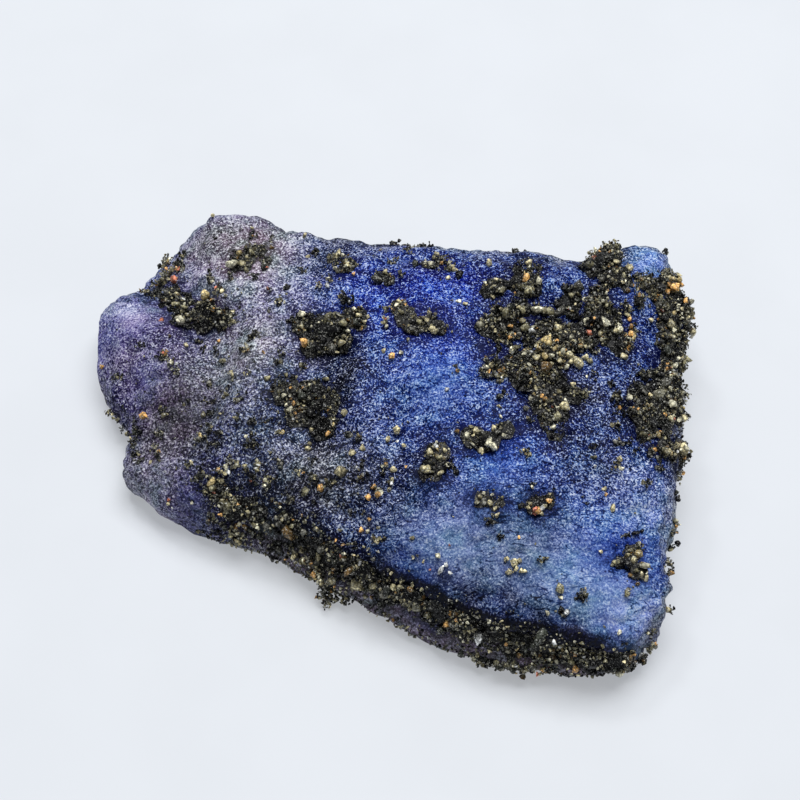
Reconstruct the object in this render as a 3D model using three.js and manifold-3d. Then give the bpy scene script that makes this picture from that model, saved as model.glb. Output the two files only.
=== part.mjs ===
// A rough sapphire: one tabular, frosted crystal with dark sand stuck to it in clumps and crusts.
// Millimetres, +Z up. The crystal lies on its flat underside, with its length along X and its
// thick front edge towards -Y. The origin is at the bottom centre of the whole piece.
import * as THREE from "three";
import { ImprovedNoise } from "three/addons/math/ImprovedNoise.js";
import { mergeVertices } from "three/addons/utils/BufferGeometryUtils.js";
import Module from "manifold-3d";

const wasm = await Module();
wasm.setup();

// ---------------------------------------------------------------- driving dimensions

// The crystal's plan at its widest level, side by side and anticlockwise from above.
const RIGHT_SIDE = [
  [11.4, -13.8], [12.3, -12.2], [12.9, -10], [13.2, -7], [13.5, -4], [13.8, -1], [14, 2], [14.5, 5.9],
];
const BACK_SIDE = [
  [14.2, 9], [12.4, 9.4], [10.3, 8.9], [8.8, 8.3], [7.4, 8.4], [5, 8.8], [2.5, 9.2], [0, 9.6],
  [-2.6, 10.2], [-5.2, 11], [-7.8, 12.2],
];
const LEFT_SIDE = [
  [-10, 12.7], [-11.7, 11.2], [-12.5, 9.6], [-13.3, 8.4], [-14.5, 7.7], [-15.3, 6.2], [-15.6, 4.4],
  [-15.4, 2.6], [-14.9, 1], [-14.1, -0.6], [-13.8, -2.2], [-13.6, -3.7],
];
const FRONT_SIDE = [
  [-12.6, -4.4], [-10.8, -5.7], [-8.4, -6.8], [-6, -7.8], [-3.8, -9.2], [-1.6, -10.7], [0.6, -12],
  [3, -13.1], [5.6, -13.9], [8, -14.2], [9.8, -14.3],
];
const CENTRE = new THREE.Vector2(0, -1.2); // where the plan is measured from

// The flattish faces that bound the top: height at the plan's zero point, and rise per millimetre
// along X and along Y. The lowest face at a place wins, over a soft edge.
const TOP_FACES = [
  { height: 6.9, alongX: 0.01, alongY: 0.0 }, // the main face
  { height: 7.6, alongX: 0.02, alongY: 0.24 }, // leans down to the front edge
  { height: 8.6, alongX: 0.28, alongY: 0.0 }, // leans down to the lobes on the left
  { height: 7.6, alongX: 0.2, alongY: 0.22 }, // leans down to the front left
  { height: 9.0, alongX: -0.22, alongY: 0.02 }, // leans down to the right side
  { height: 8.3, alongX: 0.04, alongY: -0.2 }, // leans down to the back edge
];
const FACE_BLEND = 0.5; // how softly two faces meet

const BASE_DEPTH = 0.45; // how far the underside bulges below the level where it is cut flat

// The cross-section is a superellipse: a higher power is a squarer edge.
const TOP_EDGE = { left: 2.3, right: 4.4 };
const BASE_EDGE = 4.6;

// Valleys (rise below zero) and ridges in the top, each along a run of plan points.
const FOLDS = [
  { rise: -0.8, width: 1.1, run: [[-14, 8.4], [-12.6, 6.4], [-10, 4], [-8, 2.8]] }, // the notch
  { rise: -0.6, width: 0.9, run: [[-9.8, 3.4], [-9.2, 1], [-9.6, -1.6], [-11.6, -3.2], [-13.8, -2.4]] },
  { rise: 0.45, width: 1.1, run: [[-7.6, 3], [-7.3, 0], [-6.6, -3], [-5.4, -5.6]] },
  { rise: -0.45, width: 0.9, run: [[-2.2, -7.4], [-0.6, -5.2], [0.4, -3]] },
  { rise: -0.6, width: 1.1, run: [[9, 8.6], [9.3, 6], [8.2, 3.6]] }, // the saddle in the back edge
  { rise: 0.3, width: 1.2, run: [[1, 6], [1.6, 2], [1.2, -3]] },
];

// Swells (rise above zero) and hollows in the top, each round a plan point.
const SWELLS = [
  { rise: -0.6, reach: 1.9, at: [-3.6, 1.4] },
  { rise: -0.6, reach: 1.8, at: [-4.2, -3] },
  { rise: -0.5, reach: 2.8, at: [7.4, 1.2] },
  { rise: 0.5, reach: 1.6, at: [12.4, 6.4] },
  { rise: 0.4, reach: 2.2, at: [-8.4, 7.4] },
  { rise: 0.35, reach: 1.8, at: [-13, 3.6] },
  { rise: 0.35, reach: 1.6, at: [-10.6, -5.2] },
  { rise: 0.3, reach: 2.4, at: [3.4, -8.6] },
  { rise: -0.3, reach: 1.5, at: [7.6, -9] },
];

// The groove that runs along the front wall, under the top's lip.
const GROOVE = { depth: 1, level: 2.4, halfWidth: 1.1, from: -9, to: 10, runOut: 4, fadeIn: 8 };

// Lumps all over the crystal: size across, and how far they move the surface.
const LUMPS = [
  { across: 4.2, rise: 0.35 },
  { across: 1.9, rise: 0.16 },
];

const SEEDS = { x: 11, y: 23, z: 37 }; // where the lumps' noise starts, for the moves along each axis

const STONE_CELLS = [28, 24, 7]; // the crystal's mesh, in cells along, across and up

// Sand clumps. Each lump of a clump is thrown at the crystal from one side and sticks where it
// lands. Its two places and its radius are [x, y, radius] from above, [x, z, radius] from the
// front and the back, and [y, z, radius] from the right.
const SAND = {
  sand_patch_upper_right: {
    above: [
      [10.8, 8.3, 0.75], [10.3, 6.9, 1.1], [10.9, 5.5, 0.9], [9.9, 4.4, 0.85], [10, 2.9, 1.1], [10.7, 1.5, 0.85],
      [8.5, 4.4, 0.9], [8.5, 1.8, 1], [7.2, 2.6, 0.95], [7.7, 0.5, 0.95], [5.7, 2.9, 1], [4.6, 2, 0.85],
      [4.8, 0.5, 0.95], [6.1, -0.1, 0.9], [5, 4.5, 0.95], [6.3, 4.7, 0.95], [6.5, 6.1, 0.85],
      [6.1, -1.2, 0.8], [7.4, -1, 0.8], [7, -2.3, 0.85], [8.2, -2, 0.7], [7.4, -3.4, 0.8], [7.4, -4.3, 0.5],
    ],
  },
  sand_crust_right_edge: {
    above: [
      [12.7, 5.9, 0.95], [13.7, 6.7, 0.75], [13.9, 5.4, 0.85], [13.6, 4.2, 0.85], [13.4, 2.9, 0.8],
      [13.3, 1.6, 0.8], [13.1, 0.3, 0.8], [12.8, -0.9, 0.9], [11.8, -1.5, 0.75], [11.7, -2.8, 0.75],
      [12.6, -2.4, 0.75], [11.9, -3.9, 0.75], [12.8, -4.2, 0.8],
    ],
    right: [
      [5, 3.8, 0.85], [3.7, 3.7, 0.8], [2.4, 3.6, 0.8], [0.1, 4.2, 0.85], [-1.4, 4.4, 0.85],
      [-3.6, 4, 0.75],
    ],
  },
  sand_clump_back_hollow: {
    above: [[-4.7, 2.8, 0.7], [-3.5, 2.5, 0.9], [-2.2, 2.8, 0.75], [-4.2, 1.5, 0.75], [-3, 1.4, 0.8]],
  },
  sand_clump_front_hollow: {
    above: [[-5.6, -1.2, 0.75], [-4.4, -1.4, 0.8], [-4.9, -2.2, 0.8], [-3.4, -2.1, 0.75], [-3.6, -3.1, 0.75]],
  },
  sand_clump_notch: {
    above: [
      [-12.6, 7, 0.65], [-11.8, 6.6, 0.8], [-11.1, 5.5, 0.85], [-9.9, 4.8, 0.9], [-8.8, 4.1, 0.7],
      [-11.1, 4.4, 0.6],
    ],
  },
  sand_clump_upper_lobe: { above: [[-8.1, 7.4, 0.7], [-7.3, 7.9, 0.5]] },
  sand_clump_back_left: { above: [[-3.2, 7.3, 0.6], [-2.8, 6.6, 0.65]] },
  sand_ball_back: { above: [[-0.9, 5.6, 0.5], [-0.5, 5.2, 0.35]] },
  sand_clump_back_middle: { above: [[2.2, 7.3, 0.6], [1.5, 6.6, 0.45]] },
  sand_fork: { above: [[0, 3.1, 0.45], [0.3, 2.5, 0.55], [0.6, 1.9, 0.5], [1.3, 2, 0.5], [1.9, 1.8, 0.4]] },
  sand_clump_centre: { above: [[1.8, -5.4, 0.6], [1.5, -6.2, 0.6]] },
  sand_clump_centre_right: { above: [[3.5, -4.5, 0.6], [4.3, -4.6, 0.5], [5, -4.1, 0.5]] },
  sand_clump_low_middle: { above: [[3.9, -7.9, 0.45], [4.5, -8.1, 0.4]] },
  sand_clump_low_right: { above: [[6.3, -8, 0.45], [6.9, -7.8, 0.4]] },
  sand_clump_near_corner: { above: [[10.9, -10.1, 0.5], [11.1, -10.8, 0.45], [10.4, -10.5, 0.4]] },
  sand_crust_front_left: {
    front: [[-8.8, 3.4, 0.6], [-8, 2.9, 0.7], [-7, 3.1, 0.7]],
  },
  sand_crust_front: {
    front: [
      [-5.3, 3.2, 0.75], [-4.5, 2.6, 0.8], [-3.8, 1.6, 0.65], [-3.7, 2.7, 0.8], [-2.8, 2.3, 1],
      [-1.7, 2.7, 1], [-0.6, 2.3, 0.95], [0.6, 2.6, 0.95], [1.8, 2.2, 1], [3.1, 2.5, 1.1],
      [4.4, 2.4, 1.1], [5.6, 2.2, 1], [6.8, 2.3, 1], [8, 2.3, 0.95], [9.1, 2.2, 0.9], [10.2, 2, 0.8],
    ],
  },
  sand_crust_back: {
    back: [
      [-6.6, 3.2, 0.85], [-5.4, 3.6, 0.9], [-4.2, 3.2, 0.85], [-3, 3.6, 0.85], [-1.8, 3.3, 0.9],
      [-0.6, 3.6, 0.85],
    ],
  },
};
const LUMP_SQUASH = 0.66; // how thick a lump is against its width
const LUMP_SEAT = 0.18; // how far a lump's middle stands off the crystal, against its radius
const LUMP_CORNERS = 1.18; // how far a lump's corners stand out, against its radius
const LUMP_ROUGHNESS = 0.14; // how far the corners stray from that
const LUMP_VARIETY = 5; // how far the noise moves on from one lump to the next, per millimetre
const SEAT_GAP = 0.05; // between the crystal and its sand
const FAR = 30; // a distance past the crystal's edge from any place in it

// ---------------------------------------------------------------- the crystal

const { lerp, smoothstep } = THREE.MathUtils;
const noise = new ImprovedNoise();

const sides = [RIGHT_SIDE, BACK_SIDE, LEFT_SIDE, FRONT_SIDE];
const outlinePoints = sides.flat();
const outline = new THREE.CatmullRomCurve3(
  outlinePoints.map(([x, y]) => new THREE.Vector3(x, y, 0)),
  true,
  "centripetal",
);

// The plan point at a share, 0 to 1, of one of the four sides.
function outlineAt(side, share) {
  const start = sides.slice(0, side).flat().length;
  const knot = start + share * sides[side].length;
  const point = outline.getPoint((knot / outlinePoints.length) % 1);
  return new THREE.Vector2(point.x, point.y);
}

// The outline's plan point in the direction of a place in the unit box.
function outlineTowards(u, v) {
  const reach = Math.max(Math.abs(u), Math.abs(v));
  if (reach === 0) return CENTRE.clone();
  if (u === reach) return outlineAt(0, (1 + v / reach) / 2);
  if (v === reach) return outlineAt(1, (1 - u / reach) / 2);
  if (u === -reach) return outlineAt(2, (1 - v / reach) / 2);
  return outlineAt(3, (1 + u / reach) / 2);
}

// How much of a bump is left at a distance from its middle.
function fade(distance, reach) {
  return Math.exp(-((distance / reach) ** 2));
}

function distanceToRun(x, y, run) {
  const place = new THREE.Vector3(x, y, 0);
  const nearest = new THREE.Vector3();
  let least = Infinity;
  for (let i = 1; i < run.length; i++) {
    const stretch = new THREE.Line3(
      new THREE.Vector3(...run[i - 1], 0),
      new THREE.Vector3(...run[i], 0),
    );
    stretch.closestPointToPoint(place, true, nearest);
    least = Math.min(least, nearest.distanceTo(place));
  }
  return least;
}

function topAt(x, y) {
  let sum = 0;
  for (const face of TOP_FACES) {
    sum += Math.exp(-(face.height + face.alongX * x + face.alongY * y) / FACE_BLEND);
  }
  let height = -FACE_BLEND * Math.log(sum);
  for (const fold of FOLDS) height += fold.rise * fade(distanceToRun(x, y, fold.run), fold.width);
  for (const swell of SWELLS) {
    height += swell.rise * fade(Math.hypot(x - swell.at[0], y - swell.at[1]), swell.reach);
  }
  return height;
}

// How far the groove draws the front wall in.
function grooveAt(point) {
  const starts = smoothstep(point.x, GROOVE.from, GROOVE.from + GROOVE.runOut);
  const ends = 1 - smoothstep(point.x, GROOVE.to - GROOVE.runOut, GROOVE.to);
  return GROOVE.depth * starts * ends * fade(point.z - GROOVE.level, GROOVE.halfWidth);
}

function lumpAt(point, across, seed) {
  return noise.noise(point.x / across + seed, point.y / across, point.z / across);
}

// A place on the unit box's surface as a point of the crystal.
function warp(u, v, w) {
  const reach = Math.max(Math.abs(u), Math.abs(v));
  const power = w > 0 ? lerp(TOP_EDGE.left, TOP_EDGE.right, smoothstep(u, -0.5, 1)) : BASE_EDGE;
  const squash = (reach ** power + Math.abs(w) ** power) ** (-1 / power);
  const rim = reach * squash;
  const plan = CENTRE.clone().lerp(outlineTowards(u, v), rim);
  const z = lerp(-BASE_DEPTH, topAt(plan.x, plan.y), (1 + w * squash) / 2);
  const point = new THREE.Vector3(plan.x, plan.y, z);
  if (v === -1) point.y += grooveAt(point) * rim ** GROOVE.fadeIn;
  for (const [seed, lump] of LUMPS.entries()) {
    const at = point.clone();
    point.x += lump.rise * lumpAt(at, lump.across, SEEDS.x + seed);
    point.y += lump.rise * lumpAt(at, lump.across, SEEDS.y + seed);
    point.z += lump.rise * lumpAt(at, lump.across, SEEDS.z + seed);
  }
  return point;
}

// ---------------------------------------------------------------- solids

function solidOf(geometry) {
  const bare = geometry.clone();
  bare.deleteAttribute("normal");
  bare.deleteAttribute("uv");
  const merged = mergeVertices(bare);
  return new wasm.Manifold(
    new wasm.Mesh({
      numProp: 3,
      vertProperties: merged.attributes.position.array,
      triVerts: new Uint32Array(merged.index.array),
    }),
  );
}

function geometryOf(solid) {
  const mesh = solid.getMesh();
  const geometry = new THREE.BufferGeometry();
  geometry.setAttribute("position", new THREE.BufferAttribute(mesh.vertProperties, 3));
  geometry.setIndex(new THREE.BufferAttribute(mesh.triVerts, 1));
  geometry.computeVertexNormals();
  return geometry;
}

function crystalGeometry() {
  const geometry = new THREE.BoxGeometry(2, 2, 2, ...STONE_CELLS);
  const position = geometry.attributes.position;
  for (let i = 0; i < position.count; i++) {
    const point = warp(position.getX(i), position.getY(i), position.getZ(i));
    position.setXYZ(i, point.x, point.y, point.z);
  }
  return geometry;
}

// All that lies below the level of the underside.
const below = solidOf(new THREE.BoxGeometry(2 * FAR, 2 * FAR, FAR).translate(0, 0, -FAR / 2));
const crystal = solidOf(crystalGeometry()).subtract(below);

const sapphireMaterial = new THREE.MeshStandardMaterial({ color: 0x1c35a8, roughness: 0.45, metalness: 0 });
const sandMaterial = new THREE.MeshStandardMaterial({ color: 0x55503f, roughness: 0.8, metalness: 0 });

const sapphire = new THREE.Mesh(geometryOf(crystal), sapphireMaterial);
sapphire.name = "sapphire";
sapphire.updateMatrixWorld();

// ---------------------------------------------------------------- the sand

// The crystal with its skin moved out by the seat gap.
function crystalWithGap() {
  const geometry = geometryOf(crystal);
  const { position, normal } = geometry.attributes;
  for (let i = 0; i < position.count; i++) {
    position.setXYZ(
      i,
      position.getX(i) + SEAT_GAP * normal.getX(i),
      position.getY(i) + SEAT_GAP * normal.getY(i),
      position.getZ(i) + SEAT_GAP * normal.getZ(i),
    );
  }
  return solidOf(geometry);
}

// Where each side throws from, and which way.
const THROWS = {
  above: { from: (a, b) => [a, b, FAR], towards: [0, 0, -1] },
  front: { from: (a, b) => [a, -FAR, b], towards: [0, 1, 0] },
  back: { from: (a, b) => [a, FAR, b], towards: [0, -1, 0] },
  right: { from: (a, b) => [FAR, a, b], towards: [-1, 0, 0] },
};

// Where a throw lands on the crystal, with the way that the surface faces there.
function landing(side, a, b) {
  const { from, towards } = THROWS[side];
  const ray = new THREE.Raycaster(new THREE.Vector3(...from(a, b)), new THREE.Vector3(...towards));
  const [hit] = ray.intersectObject(sapphire);
  if (!hit) throw new Error(`a sand lump thrown from the ${side} at ${a}, ${b} misses the crystal`);
  return { point: hit.point, facing: hit.face.normal };
}

function lumpGeometry(point, facing, radius) {
  const geometry = new THREE.IcosahedronGeometry(LUMP_CORNERS, 0);
  const position = geometry.attributes.position;
  const place = new THREE.Vector3();
  for (let i = 0; i < position.count; i++) {
    place.fromBufferAttribute(position, i);
    const spot = place.clone().multiplyScalar(LUMP_VARIETY / 2).addScaledVector(point, LUMP_VARIETY);
    place.multiplyScalar(1 + 2 * LUMP_ROUGHNESS * noise.noise(spot.x, spot.y, spot.z));
    position.setXYZ(i, place.x, place.y, place.z);
  }
  const turn = new THREE.Quaternion().setFromUnitVectors(new THREE.Vector3(0, 0, 1), facing);
  const middle = point.clone().addScaledVector(facing, LUMP_SEAT * radius);
  const size = new THREE.Vector3(radius, radius, LUMP_SQUASH * radius);
  return geometry.applyMatrix4(new THREE.Matrix4().compose(middle, turn, size));
}

function sandClump(lumpsBySide) {
  let clump = null;
  for (const [side, lumps] of Object.entries(lumpsBySide)) {
    for (const [a, b, radius] of lumps) {
      const { point, facing } = landing(side, a, b);
      const lump = solidOf(lumpGeometry(point, facing, radius));
      clump = clump ? clump.add(lump) : lump;
    }
  }
  return clump.subtract(seat).subtract(below);
}

const seat = crystalWithGap();

const specimen = new THREE.Group();
specimen.add(sapphire);
for (const [name, lumpsBySide] of Object.entries(SAND)) {
  const clump = new THREE.Mesh(geometryOf(sandClump(lumpsBySide)), sandMaterial);
  clump.name = name;
  specimen.add(clump);
}

const extent = new THREE.Box3().setFromObject(specimen);
const middle = extent.getCenter(new THREE.Vector3());
specimen.position.set(-middle.x, -middle.y, -extent.min.z);

export default specimen;
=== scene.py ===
import math

import bmesh
import bpy
import numpy as np
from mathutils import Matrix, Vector, noise
from mathutils.bvhtree import BVHTree
from mathutils.kdtree import KDTree


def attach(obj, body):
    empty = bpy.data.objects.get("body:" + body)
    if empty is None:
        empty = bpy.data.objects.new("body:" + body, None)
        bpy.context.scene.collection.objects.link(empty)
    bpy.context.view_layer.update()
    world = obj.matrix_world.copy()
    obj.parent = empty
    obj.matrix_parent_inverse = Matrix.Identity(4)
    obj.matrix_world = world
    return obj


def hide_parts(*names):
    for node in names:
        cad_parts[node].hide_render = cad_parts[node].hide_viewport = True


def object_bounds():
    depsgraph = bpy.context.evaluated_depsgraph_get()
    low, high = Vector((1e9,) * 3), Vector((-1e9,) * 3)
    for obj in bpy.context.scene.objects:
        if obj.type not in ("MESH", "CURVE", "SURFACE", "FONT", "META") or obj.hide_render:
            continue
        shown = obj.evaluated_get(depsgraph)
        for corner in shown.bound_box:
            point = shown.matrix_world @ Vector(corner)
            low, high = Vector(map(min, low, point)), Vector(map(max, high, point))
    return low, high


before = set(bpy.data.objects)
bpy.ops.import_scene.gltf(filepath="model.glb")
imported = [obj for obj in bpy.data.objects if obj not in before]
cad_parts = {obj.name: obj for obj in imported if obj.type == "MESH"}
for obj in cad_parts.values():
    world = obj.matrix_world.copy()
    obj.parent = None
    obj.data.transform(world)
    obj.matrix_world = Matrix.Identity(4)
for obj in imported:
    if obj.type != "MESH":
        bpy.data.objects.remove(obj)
cad_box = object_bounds()

MM = 0.001
SEED = 7
rng = np.random.default_rng(SEED)
noise.seed_set(SEED)  # noise_vector would start from the clock without it
PLAN_ZERO = np.array([0.188, 1.2, 0.0])  # the plan's zero point in the frame, mm

# ---------------------------------------------------------------- the camera

PICTURE_SIDE = 800
FOCAL_LENGTH = 100.0
SENSOR = 36.0
CAMERA_HEIGHT_ANGLE = math.radians(52)
CAMERA_DISTANCE = 111.1  # mm
CAMERA_TARGET = PLAN_ZERO + [0, 0, 3.5]
CAMERA_CLIP = (0.005, 5)  # m
LINE_SEARCH = (95, 130, 0.25)  # from, to and step along a sight line, mm

camera_back = np.array([0, -math.cos(CAMERA_HEIGHT_ANGLE), math.sin(CAMERA_HEIGHT_ANGLE)])
camera_right = np.array([1.0, 0, 0])
camera_up = np.cross(camera_back, camera_right)
camera_place = CAMERA_TARGET + CAMERA_DISTANCE * camera_back
picture_middle = PICTURE_SIDE / 2
pixel_spread = SENSOR / FOCAL_LENGTH / PICTURE_SIDE

camera = bpy.data.objects.new("camera", bpy.data.cameras.new("camera"))
camera.data.lens = FOCAL_LENGTH
camera.data.sensor_width = SENSOR
camera.data.clip_start, camera.data.clip_end = CAMERA_CLIP
camera.location = Vector(camera_place * MM)
camera.rotation_euler = Vector(camera_back).to_track_quat("Z", "Y").to_euler()
bpy.context.scene.collection.objects.link(camera)
bpy.context.scene.camera = camera


def sight_line(x, y):
    """The direction from the camera through a place in the 800 x 800 picture."""
    across = camera_right * (x - picture_middle) * pixel_spread
    down = -camera_up * (y - picture_middle) * pixel_spread
    line = -camera_back + across + down
    return line / np.linalg.norm(line)


def picture_places(places):
    """Where places, in metres, show in the 800 x 800 picture."""
    away = places - camera_place * MM
    depths = -away @ camera_back
    across = away @ camera_right / depths / pixel_spread
    down = -(away @ camera_up) / depths / pixel_spread
    return picture_middle + np.stack([across, down], axis=1)


# ---------------------------------------------------------------- helpers


def linear(red, green, blue):
    """A display colour, sRGB from 0 to 255, as linear light."""
    values = np.array([red, green, blue]) / 255
    low = values / 12.92
    high = ((values + 0.055) / 1.055) ** 2.4
    return np.where(values <= 0.04045, low, high)


def coordinates(mesh):
    flat = np.empty(len(mesh.vertices) * 3)
    mesh.vertices.foreach_get("co", flat)
    return flat.reshape(-1, 3)


def normals(mesh):
    flat = np.empty(len(mesh.vertices) * 3)
    mesh.vertex_normals.foreach_get("vector", flat)
    return flat.reshape(-1, 3)


def triangles(mesh):
    mesh.calc_loop_triangles()
    flat = np.empty(len(mesh.loop_triangles) * 3, dtype=int)
    mesh.loop_triangles.foreach_get("vertices", flat)
    return flat.reshape(-1, 3)


def tree_of(mesh):
    return BVHTree.FromPolygons(coordinates(mesh).tolist(), triangles(mesh).tolist())


def add_object(name, mesh):
    obj = bpy.data.objects.new(name, mesh)
    bpy.context.scene.collection.objects.link(obj)
    return obj


def float_attribute(mesh, name, values):
    attribute = mesh.attributes.new(name, "FLOAT", "POINT")
    attribute.data.foreach_set("value", np.asarray(values, dtype=np.float32))


def corners_and_crosses(mesh):
    """Each triangle's corners, and the way it faces, as long as twice its area."""
    corners = coordinates(mesh)[triangles(mesh)]
    return corners, np.cross(corners[:, 1] - corners[:, 0], corners[:, 2] - corners[:, 0])


def surface_places(mesh, count):
    """Random places on a mesh, evenly by area, with the way that the surface faces there."""
    corners, crosses = corners_and_crosses(mesh)
    areas = np.linalg.norm(crosses, axis=1)
    chosen = rng.choice(len(areas), size=count, p=areas / areas.sum())
    a, b = rng.random((2, count, 1))
    flip = a + b > 1
    a, b = np.where(flip, 1 - a, a), np.where(flip, 1 - b, b)
    picked = corners[chosen]
    places = picked[:, 0] + a * (picked[:, 1] - picked[:, 0]) + b * (picked[:, 2] - picked[:, 0])
    return places, crosses[chosen] / areas[chosen][:, None]


# ---------------------------------------------------------------- the crystal's shape

VOXEL = 0.16  # mm
SMOOTHING = 0.5
SMOOTHING_ROUNDS = 8
# Relief in the skin: size across along X, Y and Z, how deep it cuts (mm), and whether it is creased.
RELIEF = [
    {"across": (2.6, 1.7, 1.7), "depth": 0.22, "creased": True},
    {"across": (1.1, 0.7, 0.8), "depth": 0.14, "creased": True},
    {"across": (0.5, 0.34, 0.4), "depth": 0.09, "creased": False},
]
RELIEF_SEED = 31.7  # sets the noise of each layer apart from the others
BASE_FADE = 0.5  # the relief dies out over this height above the underside, mm
FULLNESS = 0.34  # the skin stands this far out before the relief cuts it back in, mm
# Where it stands out further, or less far: the plan place, the reach and how much further (mm).
FULLER = [
    (-9.2, 9.6, 2.2, 0.5), (0.5, 8.6, 1.6, 0.3), (-2.2, 9.0, 1.2, 0.25), (-2.6, -6.6, 2.2, 0.35),
    (5.5, -11.5, 2.4, 0.25), (11.2, 7.6, 1.9, -0.5), (-14.2, 5.4, 1.9, 0.8), (-9.6, 10.6, 0.8, 0.4),
    (-7.5, 10.4, 0.7, 0.3), (-11.6, 10.0, 1.0, -0.35), (-4.9, 9.3, 1.3, 0.3), (12.9, -9.2, 1.9, -0.45),
    (11.8, -13.6, 1.0, -0.4), (-7.4, -9.6, 1.6, 0.35), (5.0, 7.9, 2.2, 0.45), (8.5, 7.7, 1.2, 0.15),
    (-14.1, -0.6, 1.3, -0.4),
]


def smooth_copy(node):
    """The node's shape in fine, even faces, with its corners rounded off."""
    blank = add_object("blank", node.data.copy())
    remesh = blank.modifiers.new("remesh", "REMESH")
    remesh.mode = "VOXEL"
    remesh.voxel_size = VOXEL * MM
    smooth = blank.modifiers.new("smooth", "SMOOTH")
    smooth.factor = SMOOTHING
    smooth.iterations = SMOOTHING_ROUNDS
    depsgraph = bpy.context.evaluated_depsgraph_get()
    mesh = bpy.data.meshes.new_from_object(blank.evaluated_get(depsgraph))
    bpy.data.objects.remove(blank)
    return mesh


def relief_at(place):
    """How far the skin stands out at a place, in mm, less than nothing where it is cut in."""
    depth = 0.0
    for number, layer in enumerate(RELIEF):
        seed = RELIEF_SEED * (number + 1)
        spot = Vector([place[i] / layer["across"][i] + seed for i in range(3)])
        value = noise.noise(spot)
        share = 1 - abs(value) * 2 if layer["creased"] else 0.5 + value
        depth += layer["depth"] * min(max(share, 0), 1)
    stand = FULLNESS - depth * min(place[2] / BASE_FADE, 1)
    for x, y, reach, further in FULLER:
        gap = math.hypot(place[0] - PLAN_ZERO[0] - x, place[1] - PLAN_ZERO[1] - y)
        stand += further * math.exp(-((gap / reach) ** 2))
    return stand


crystal_mesh = smooth_copy(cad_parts["sapphire"])
crystal_mesh.name = "sapphire_crystal"
places = coordinates(crystal_mesh) / MM
broad_facings = normals(crystal_mesh)
stands = np.array([relief_at(place) for place in places.tolist()])
places += stands[:, None] * broad_facings
places = np.clip(places, np.array(cad_box[0]) / MM, np.array(cad_box[1]) / MM)
crystal_mesh.vertices.foreach_set("co", (places * MM).ravel())
crystal_mesh.polygons.foreach_set("use_smooth", np.ones(len(crystal_mesh.polygons), dtype=bool))
crystal_mesh.update()

crystal = add_object("sapphire_crystal", crystal_mesh)
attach(crystal, "root")
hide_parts("sapphire")
crystal_tree = tree_of(crystal_mesh)

# ---------------------------------------------------------------- the crystal's colours


def seen_at(objects, x, y):
    """Where the sight line through a place in the picture first meets the objects.

    A line that just misses them gives the place on them that it passes closest to.
    """
    start, line = Vector(camera_place * MM), Vector(sight_line(x, y))
    hits = [obj.ray_cast(start, line) for obj in objects]
    hits = [spot for met, spot, _, _ in hits if met]
    if hits:
        return np.array(min(hits, key=lambda spot: (spot - start).length))
    along = [start + line * depth * MM for depth in np.arange(*LINE_SEARCH)]
    near = [(point, obj.closest_point_on_mesh(point)[1]) for point in along for obj in objects]
    return np.array(min(near, key=lambda pair: (pair[1] - pair[0]).length)[1])


BODY_BLUE = linear(50, 84, 160)
# Soft colour zones in the crystal: the place in the picture, reach (mm), display colour and strength.
# Most are the crystal's own colours; some paint shade or a sheen, as noted by their rows.
ZONES = [
    (255, 250, 3.6, (208, 201, 208), 0.95), (215, 240, 2.2, (158, 148, 162), 0.9),
    (325, 250, 2.4, (68, 80, 130), 0.8), (130, 330, 3.4, (148, 144, 182), 0.95),
    (135, 308, 1.4, (168, 172, 206), 0.8), (105, 338, 1.1, (88, 88, 164), 0.7),
    (136, 336, 0.7, (104, 98, 168), 0.6), (150, 356, 1.5, (100, 92, 136), 0.6),
    (126, 374, 1.5, (96, 88, 122), 0.6), (165, 400, 3.0, (82, 50, 88), 0.9),
    (185, 440, 3.0, (48, 28, 50), 0.92), (150, 375, 1.3, (124, 128, 184), 0.6),
    (188, 428, 1.2, (60, 30, 56), 0.6), (235, 440, 1.3, (100, 118, 176), 0.7),
    (145, 495, 2.4, (178, 176, 196), 0.85), (192, 506, 1.8, (112, 110, 158), 0.85),
    (250, 345, 3.2, (184, 184, 197), 0.95), (270, 460, 3.0, (108, 120, 152), 0.9),
    (330, 470, 2.6, (116, 118, 128), 0.9), (400, 290, 3.4, (36, 84, 198), 0.8),
    (460, 285, 1.9, (20, 56, 176), 0.8), (430, 385, 3.0, (78, 108, 176), 0.9),
    (450, 345, 1.6, (80, 112, 200), 0.7), (500, 455, 1.8, (84, 124, 200), 0.8),
    # The pale (470, 545), (605, 600) and (640, 625) zones are partly a painted sheen of light on the
    # frost of the front slope.
    (385, 520, 2.8, (46, 62, 108), 0.85), (470, 545, 3.0, (132, 152, 190), 0.9),
    (545, 550, 2.6, (96, 111, 140), 0.9), (605, 600, 2.8, (122, 148, 188), 0.9),
    (640, 625, 1.8, (146, 164, 212), 0.9), (612, 520, 2.6, (82, 116, 192), 0.8),
    (600, 470, 2.0, (50, 70, 124), 0.8), (655, 500, 1.8, (144, 164, 212), 0.85),
    (590, 390, 2.6, (46, 64, 120), 0.85), (655, 265, 2.2, (146, 176, 232), 0.95),
    # These paint shade: the next two the deep shade in the valley by the clumps on the left, the dark
    # ones after them the shade along the front lip.
    (345, 380, 1.3, (30, 36, 70), 0.8), (325, 350, 1.2, (50, 50, 84), 0.6),
    (440, 577, 0.8, (40, 48, 84), 0.6), (470, 592, 0.9, (34, 42, 72), 0.8),
    (505, 606, 0.9, (30, 36, 62), 0.8), (540, 620, 0.9, (28, 34, 58), 0.8),
    (575, 632, 0.8, (30, 38, 70), 0.65),
]
ZONE_WANDER = 0.9  # how far the zones' edges stray, mm
WANDER_SIZE = 2.6  # over what distance, mm


def closeness(places, x, y, reach):
    """How near places (mm) are in plan to what shows at a place in the picture: 1 there, 0 far away."""
    centre = seen_at([crystal], x, y) / MM
    distances = np.linalg.norm(places[:, :2] - centre[:2], axis=1)
    return np.exp(-((distances / reach) ** 2))


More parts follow.
